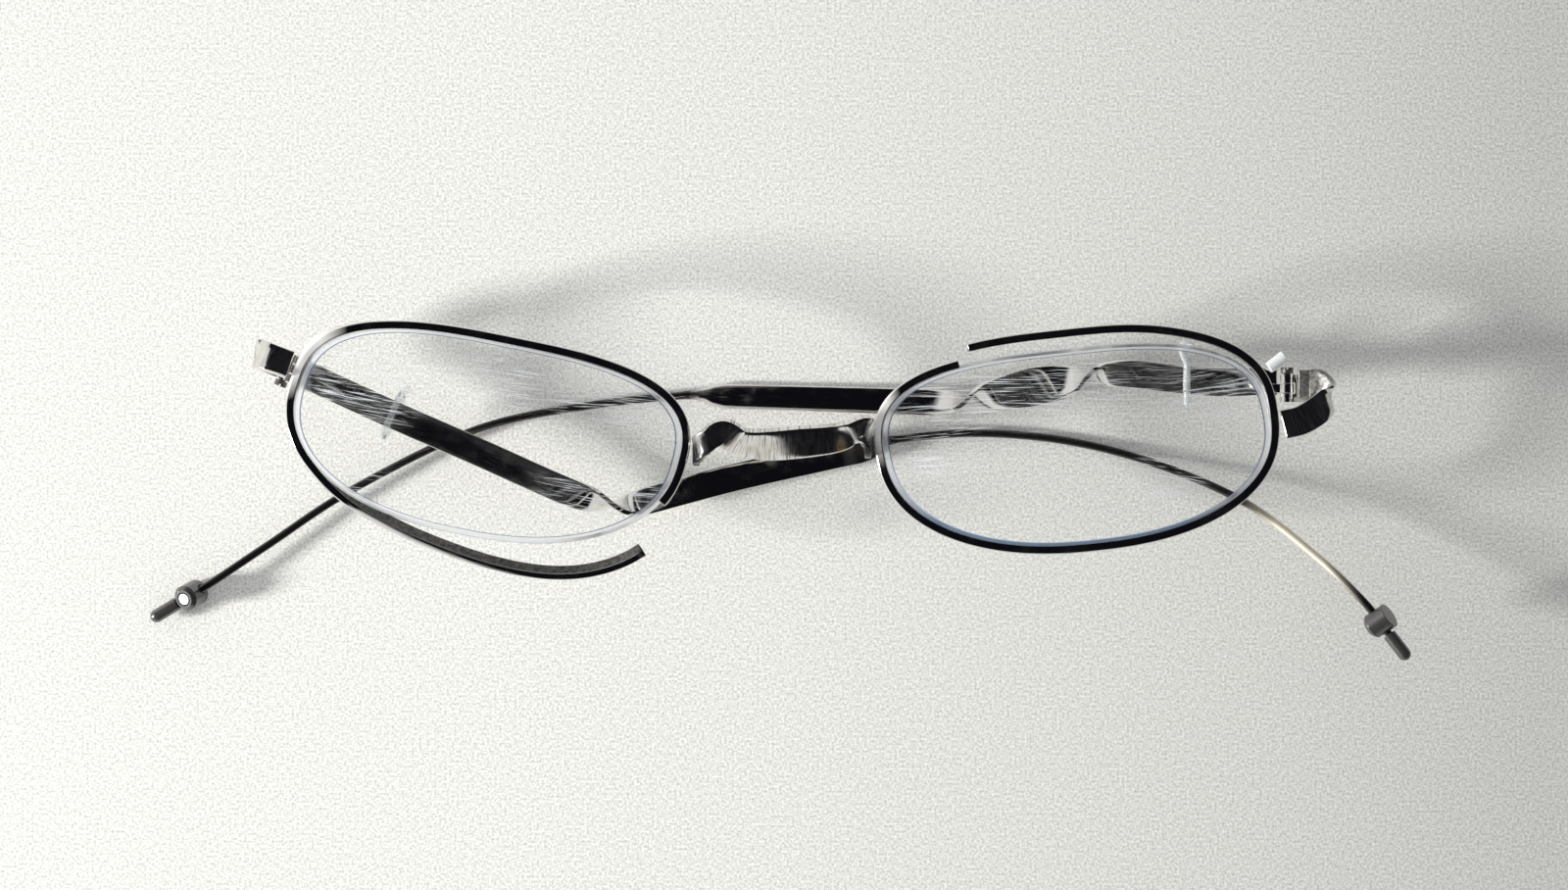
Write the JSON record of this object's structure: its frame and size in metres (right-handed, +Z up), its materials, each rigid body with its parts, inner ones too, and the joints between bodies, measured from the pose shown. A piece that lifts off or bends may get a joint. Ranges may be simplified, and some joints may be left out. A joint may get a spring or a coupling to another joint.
{
  "type": "broken eyeglasses",
  "caption": "Thin polished metal eyeglasses, bent and broken, with clear scratched lenses, cut rims, a crumpled bridge and twisted temples folded underneath.",
  "frame": {"origin": "middle of the object's base, on the surface it lies on", "axes": "+X along the front from the left end to the right one as seen from above, +Y towards the brow edge, +Z up out of the front of the lenses"},
  "size_m": [0.1698, 0.0454, 0.0185],
  "materials": {
    "polished_metal": "polished, with fine scratches",
    "brushed_metal": "brushed across its length, scuffed",
    "lens": "clear, with streaks of fine scratches",
    "milky_plastic": "clear to milky"
  },
  "bodies": {
    "front": {"bridge": "brushed_metal", "left_end_piece": "brushed_metal", "left_front_hinge_leaf": "polished_metal", "left_hinge_screw": "polished_metal", "left_lens": "lens", "left_rim": "polished_metal", "right_end_piece": "brushed_metal", "right_front_hinge_leaf": "polished_metal", "right_hinge_bushing": "milky_plastic", "right_hinge_screw": "polished_metal", "right_lens": "lens", "right_rim": "polished_metal"},
    "left_arm": {"left_temple": "polished_metal", "left_temple_hinge_leaf": "polished_metal", "left_temple_loop": "milky_plastic", "left_tip_stop": "polished_metal", "left_tip_stop_screw": "polished_metal", "left_tip_cap": "polished_metal"},
    "right_arm": {"right_temple": "polished_metal", "right_temple_hinge_leaf": "polished_metal", "right_temple_loop": "milky_plastic", "right_tip_stop": "polished_metal", "right_tip_stop_screw": "polished_metal", "right_tip_cap": "polished_metal"}
  },
  "joints": [
    {"name": "right_temple_hinge", "type": "hinge", "parent": "front", "child": "right_arm", "pos_m": [0.0685, 0.01374, 0.00795], "axis": [0, -1, 0], "range_deg": [0, 95]},
    {"name": "left_temple_hinge", "type": "hinge", "parent": "front", "child": "left_arm", "pos_m": [-0.06561, 0.01664, 0.00795], "axis": [0.3843, 0.9232, 0], "range_deg": [0, 38.2]}
  ],
  "couplings": [
    {"joint": "left_temple_hinge", "follows": "right_temple_hinge", "ratio": 0.4}
  ]
}
